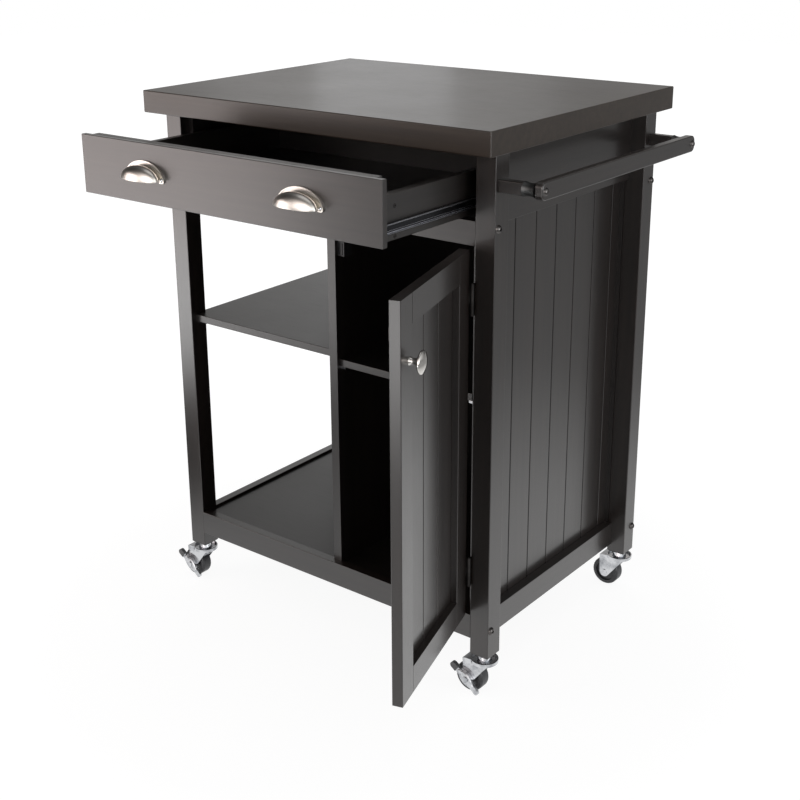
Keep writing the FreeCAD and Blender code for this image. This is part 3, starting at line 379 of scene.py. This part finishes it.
def brushed(kind):
    # fine scratches that all run one way
    look = metalLooks[kind]
    finish = newFinish(kind)
    scratches = finish.noise(finish.stretched(look["stretch"]), *brushing["scratches"])
    clouds = finish.noise(finish.place(), *brushing["clouds"])
    wear = scratches * brushing["scratchShare"] + clouds * brushing["cloudShare"]
    colour = finish.mixed(finish.ramp(wear, brushing["wornStops"]), look["colour"], look["wearAndGlint"])
    roughness = look["rough"] + (scratches - 0.5) * look["spread"]
    surface = finish.bump(scratches, brushing["depth"])
    return finish.done(Base_Color=colour, Metallic=1.0, Roughness=roughness, Normal=surface)


plasticLooks = {
    "wheelPlastic": {
        "dark": rgb(0.030, 0.031, 0.034), "light": rgb(0.070, 0.072, 0.078),
        "rough": 0.42, "depth": 0.00008,
    },
    "blackPlastic": {
        "dark": rgb(0.010, 0.010, 0.011), "light": rgb(0.028, 0.028, 0.030),
        "rough": 0.46, "depth": 0.00010,
    },
}

moulding = {
    "speckle": (620.0, 2.0, 0.6),
    "dust": (55.0, 5.0, 0.65),
    "dustStops": [(0.40, 0.0), (0.75, 1.0)],
    "dustRough": 0.24,
}


def moulded(kind):
    look = plasticLooks[kind]
    finish = newFinish(kind)
    speckle = finish.noise(finish.place(), *moulding["speckle"])
    dust = finish.noise(finish.place(), *moulding["dust"])
    tone = finish.ramp(dust, moulding["dustStops"])
    colour = finish.mixed(tone, look["dark"], look["light"])
    roughness = look["rough"] + (dust - 0.5) * moulding["dustRough"]
    surface = finish.bump(speckle, look["depth"])
    return finish.done(Base_Color=colour, Roughness=roughness, Normal=surface)


# Which finish each piece wears. A lacquer's last letter or word says where its grain runs.
lacquered = {
    "cartLacquer": ("x", "y", "z", "door"),
    "worktopLacquer": ("x",),
    "boardLacquer": ("x", "y", "z"),
    "drawerLining": ("x",),
}

finishes = {}
for kind, grains in lacquered.items():
    for grain in grains:
        finishes[kind + grain.capitalize()] = lacquer(kind, grain)
for name in boarded:
    finishes[name] = lacquer("cartLacquer", "z", name)
for kind, look in metalLooks.items():
    finishes[kind] = brushed(kind) if "stretch" in look else plated(kind)
for kind in plasticLooks:
    finishes[kind] = moulded(kind)
finishes["lipGlintRunner"] = lipGlintRunner()
for side in ("left", "right"):
    finishes["brakeLever" + side] = steppedLever(side)
print("finishes made:", len(finishes))

corners = ("front_left", "front_right", "back_left", "back_right")
finishOf = {
    "worktop": "worktopLacquerX",
    "drawer_rail_front": "cartLacquerX",
    "bottom_rail_front": "cartLacquerX",
    "top_rail_back": "cartLacquerX",
    "bottom_rail_back": "cartLacquerX",
    "side_apron_left": "cartLacquerY",
    "side_apron_right": "cartLacquerY",
    "side_rail_left": "cartLacquerY",
    "side_rail_right": "cartLacquerY",
    "side_panel": "side_panel",
    "back_panel": "boardLacquerZ",
    "partition": "boardLacquerZ",
    "bottom_shelf": "boardLacquerX",
    "open_shelf": "boardLacquerX",
    "cabinet_shelf": "boardLacquerX",
    "support_cleats": "boardLacquerY",
    "shelf_pegs": "zincSteel",
    "frame_bolts": "darkBolt",
    "barrel_nuts": "zincSteel",
    "towel_bar": "cartLacquerY",
    "towel_arms": "cartLacquerX",
    "towel_collars": "greyMetal",
    "towel_screws": "darkBolt",
    "slide_channels": "blackSlide",
    "slide_runners": "lipGlintRunner",
    "hinge_frame_leaves": "darkHinge",
    "hinge_door_leaves": "darkHinge",
    "magnetic_catch": "blackPlastic",
    "strike_plate": "darkHinge",
    "caster_sockets": "zincSteel",
    "drawer_front": "cartLacquerX",
    "drawer_inner_front": "boardLacquerX",
    "drawer_side_left": "boardLacquerY",
    "drawer_side_right": "boardLacquerY",
    "drawer_back": "boardLacquerX",
    "drawer_bottom": "drawerLiningX",
    "drawer_cams": "darkBolt",
    "cup_pull_left": "brushedNickel",
    "cup_pull_right": "brushedNickel",
    "pull_screws": "zincSteel",
    "door_stile_free": "cartLacquerZ",
    "door_stile_hinge": "cartLacquerZ",
    "door_rails": "cartLacquerDoor",
    "door_panel": "door_panel",
    "door_knob": "polishedNickel",
    "knob_screw": "zincSteel",
}
for corner in corners:
    finishOf["leg_" + corner] = "cartLacquerZ"
    finishOf["caster_fork_" + corner] = "zincSteel"
    finishOf["caster_wheel_" + corner] = "wheelPlastic"
for side in ("left", "right"):
    finishOf["brake_lever_front_" + side] = "brakeLever" + side

for name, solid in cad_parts.items():
    for slot in solid.material_slots:
        slot.material = finishes[finishOf[name]]
print("finishes given to", len(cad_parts), "nodes")


# Floor, background and lamps. Lacquer shows the room more than its own colour, so the floor and the
# walls that glossy rays meet glow in soft patches, like cards round a product on a white table; on the
# floor these are painted pools of light.

studio = {
    "floorHalf": 9.0,
    "floorShade": rgb(0.82, 0.82, 0.82),
    "shadowShade": rgb(0.17, 0.17, 0.17),
    "underGlow": 0.915,
    "openGlow": 1.0,
    "openStart": 0.55,
    "openEnd": 1.30,
    "glowReach": 4.0,
    "glowStops": [(0.0875, 0.91), (0.20, 0.86), (0.40, 0.36), (0.80, 0.32), (1.0, 0.30)],
    "fill": 0.42,
}

# Painted bright and dull pools on the floor, glowing only for glossy rays; the dull one is painted shade.
# Each lies round a point: place, reach, brightness, how steep its rim is.
paintedPools = {
    "left": ((-1.75, -1.38, 0), 1.00, 3.9, 2.0),
    "front": ((0.13, -2.55, 0), 1.10, 5.2, 1.2),
    "leftCornerShade": ((-0.85, -0.60, 0), 0.50, -0.74, 2.0),
}

# Each patch of wall lies round a direction: degrees about the cart from its right, degrees up,
# brightness, tint.
cards = {
    "front": (270, 8, 3.46, (1.07, 0.98, 0.95)),
    "frontRight": (315, 8, 1.37, (1.0, 1.0, 1.0)),
    "right": (0, 8, 1.77, (0.99, 1.0, 1.01)),
    "backRight": (45, 8, 0.55, (1.0, 1.0, 1.0)),
    "backLeft": (135, 8, 0.42, (1.02, 1.0, 0.98)),
    "rightHigh": (0, 42, 0.31, (1.0, 1.0, 1.0)),
    "backHigh": (120, 42, 0.18, (1.0, 1.0, 1.0)),
    "ceiling": (0, 90, 0.28, (1.0, 1.0, 1.0)),
}
cardNarrowness = 8.0


def rays(finish, kind):
    return finish.node("ShaderNodeLightPath", {}, {}, kind)


def mirroredRays(finish):
    return (rays(finish, "Is Glossy Ray") + rays(finish, "Is Transmission Ray")).clipped(0.0, 1.0)


def floorFinish():
    finish = newFinish("paleFloor")
    away = finish.node("ShaderNodeVectorMath", {"operation": "LENGTH"}, {0: finish.place()}, 1)
    opening = ((away - studio["openStart"]) / (studio["openEnd"] - studio["openStart"])).clipped(0.0, 1.0)
    glow = studio["underGlow"] + (studio["openGlow"] - studio["underGlow"]) * opening
    white = finish.node("ShaderNodeEmission", {}, {"Color": glow, "Strength": 1.0})
    shadow = finish.node("ShaderNodeBsdfDiffuse", {}, {"Color": studio["shadowShade"]})
    seen = finish.node("ShaderNodeAddShader", {}, {0: white, 1: shadow})
    paint = finish.node("ShaderNodeBsdfDiffuse", {}, {"Color": studio["floorShade"]})
    # painted sheen: for glossy rays the floor glows brighter near the cart and in the painted pools
    patch = finish.ramp(away / studio["glowReach"], studio["glowStops"])
    for middle, reach, bright, steep in paintedPools.values():
        ends = {0: finish.place(), 1: middle}
        off = finish.node("ShaderNodeVectorMath", {"operation": "DISTANCE"}, ends, 1)
        patch = patch + ((1 - off / reach) * steep).clipped(0.0, 1.0) * bright
    paintedSheen = finish.node("ShaderNodeEmission", {}, {"Color": patch, "Strength": 1.0})
    plain = finish.node("ShaderNodeMixShader", {}, {0: rays(finish, "Is Camera Ray"), 1: paint, 2: seen})
    whole = finish.node("ShaderNodeMixShader", {}, {0: mirroredRays(finish), 1: plain, 2: paintedSheen})
    finish.node("ShaderNodeOutputMaterial", {}, {"Surface": whole})
    return finish.owner


def meshPiece(name, bm, material):
    data = bpy.data.meshes.new(name)
    bm.normal_update()
    bm.to_mesh(data)
    bm.free()
    data.materials.append(material)
    made = bpy.data.objects.new(name, data)
    bpy.context.scene.collection.objects.link(made)
    return made


def layFloor():
    half = studio["floorHalf"]
    bm = bmesh.new()
    around = ((-half, -half), (half, -half), (half, half), (-half, half))
    bm.faces.new([bm.verts.new((x, y, 0)) for x, y in around])
    meshPiece("floor", bm, floorFinish())


def cardPatch(finish, outward, turn, rise, bright, tint):
    turn, rise = math.radians(turn), math.radians(rise)
    level = math.cos(rise)
    middle = (level * math.cos(turn), level * math.sin(turn), math.sin(rise))
    facing = finish.node("ShaderNodeVectorMath", {"operation": "DOT_PRODUCT"}, {0: outward, 1: middle}, 1)
    share = facing.clipped(0.0, 1.0) ** cardNarrowness
    colour = tuple(bright * part for part in tint)
    return finish.node("ShaderNodeVectorMath", {"operation": "SCALE"}, {0: colour, "Scale": share})


def hangWorld():
    world = bpy.data.worlds.new("studioWorld")
    bpy.context.scene.world = world
    finish = Finish(world)
    outward = finish.node("ShaderNodeTexCoord", {}, {}, "Generated")
    first, *others = [cardPatch(finish, outward, *card) for card in cards.values()]
    glow = first
    for patch in others:
        glow = finish.node("ShaderNodeVectorMath", {"operation": "ADD"}, {0: glow, 1: patch})
    plain = studio["fill"] + rays(finish, "Is Camera Ray") * (1 - studio["fill"])
    walls = finish.node("ShaderNodeBackground", {}, {"Color": glow, "Strength": 1.0})
    air = finish.node("ShaderNodeBackground", {}, {"Color": plain, "Strength": 1.0})
    sky = finish.node("ShaderNodeMixShader", {}, {0: mirroredRays(finish), 1: air, 2: walls})
    finish.node("ShaderNodeOutputWorld", {}, {"Surface": sky})


lamps = {
    "softboxLeft": {
        "at": (-2.05, -1.80, 0.77), "to": (0.0, -0.1, 0.60), "wide": 1.3, "high": 1.5, "glow": 2.50,
        "tint": (1.09, 0.97, 0.94),
    },
    "softboxRight": {
        "at": (3.00, 0.20, 0.70), "to": (0.2, 0.0, 0.5), "wide": 1.4, "high": 1.0, "glow": 3.25,
        "tint": (0.98, 1.0, 1.02),
    },
    "softboxFront": {
        "at": (0.20, -3.20, 1.50), "to": (0.1, -0.2, 0.5), "wide": 1.2, "high": 1.2, "glow": 0.70,
        "tint": (0.98, 0.99, 1.03),
    },
    "softboxBackLeft": {
        "at": (-2.05, 2.60, 1.95), "to": (0.0, 0.0, 0.9), "wide": 1.4, "high": 1.0, "glow": 0.26,
        "tint": (1.0, 1.0, 1.0),
    },
    "softboxBack": {
        "at": (-0.60, 3.20, 2.20), "to": (0.0, 0.0, 0.9), "wide": 1.4, "high": 1.0, "glow": 0.22,
        "tint": (1.10, 0.99, 0.90),
    },
    "softboxLow": {
        "at": (-1.75, 2.23, 1.37), "to": (0.09, -0.09, 0.90), "wide": 0.5, "high": 0.6, "glow": 0.40,
        "tint": (0.98, 1.0, 1.03),
    },
    "softboxOver": {
        "at": (0.0, 0.0, 3.40), "to": (0.0, 0.0, 0.0), "wide": 2.2, "high": 2.2, "glow": 0.40,
        "tint": (1.0, 0.99, 1.0),
    },
}


def hangLamps():
    for name, look in lamps.items():
        lamp = bpy.data.lights.new(name, "AREA")
        lamp.shape = "RECTANGLE"
        lamp.size = look["wide"]
        lamp.size_y = look["high"]
        lamp.energy = look["glow"] * math.pi * look["wide"] * look["high"]
        lamp.color = look["tint"]
        hung = bpy.data.objects.new(name, lamp)
        hung.location = look["at"]
        aim = Vector(look["to"]) - Vector(look["at"])
        hung.rotation_euler = aim.to_track_quat("-Z", "Y").to_euler()
        hung.visible_camera = False
        bpy.context.scene.collection.objects.link(hung)


view = {
    "at": (1.29464, -1.59965, 1.20100),
    "yaw": 38.607,
    "pitch": 18.558,
    "roll": -0.559,
    "lens": 59.399,
    "sensor": 36,
    "shiftX": 0.0201,
    "shiftY": -0.08,
}


def setCamera():
    yaw, pitch, roll = (math.radians(view[key]) for key in ("yaw", "pitch", "roll"))
    ahead = Vector((-math.sin(yaw) * math.cos(pitch), math.cos(yaw) * math.cos(pitch), -math.sin(pitch)))
    level = Vector((math.cos(yaw), math.sin(yaw), 0))
    over = level.cross(ahead)
    across = level * math.cos(roll) + over * math.sin(roll)
    upward = over * math.cos(roll) - level * math.sin(roll)
    data = bpy.data.cameras.new("photoCamera")
    data.lens = view["lens"]
    data.sensor_width = view["sensor"]
    data.shift_x = view["shiftX"]
    data.shift_y = view["shiftY"]
    made = bpy.data.objects.new("photoCamera", data)
    turned = Matrix((across, upward, -ahead)).transposed().to_4x4()
    made.matrix_world = Matrix.Translation(view["at"]) @ turned
    bpy.context.scene.collection.objects.link(made)
    bpy.context.scene.camera = made


layFloor()
hangWorld()
hangLamps()
setCamera()
bpy.context.scene.view_settings.view_transform = "Standard"
print("studio ready:", len(lamps), "lamps")
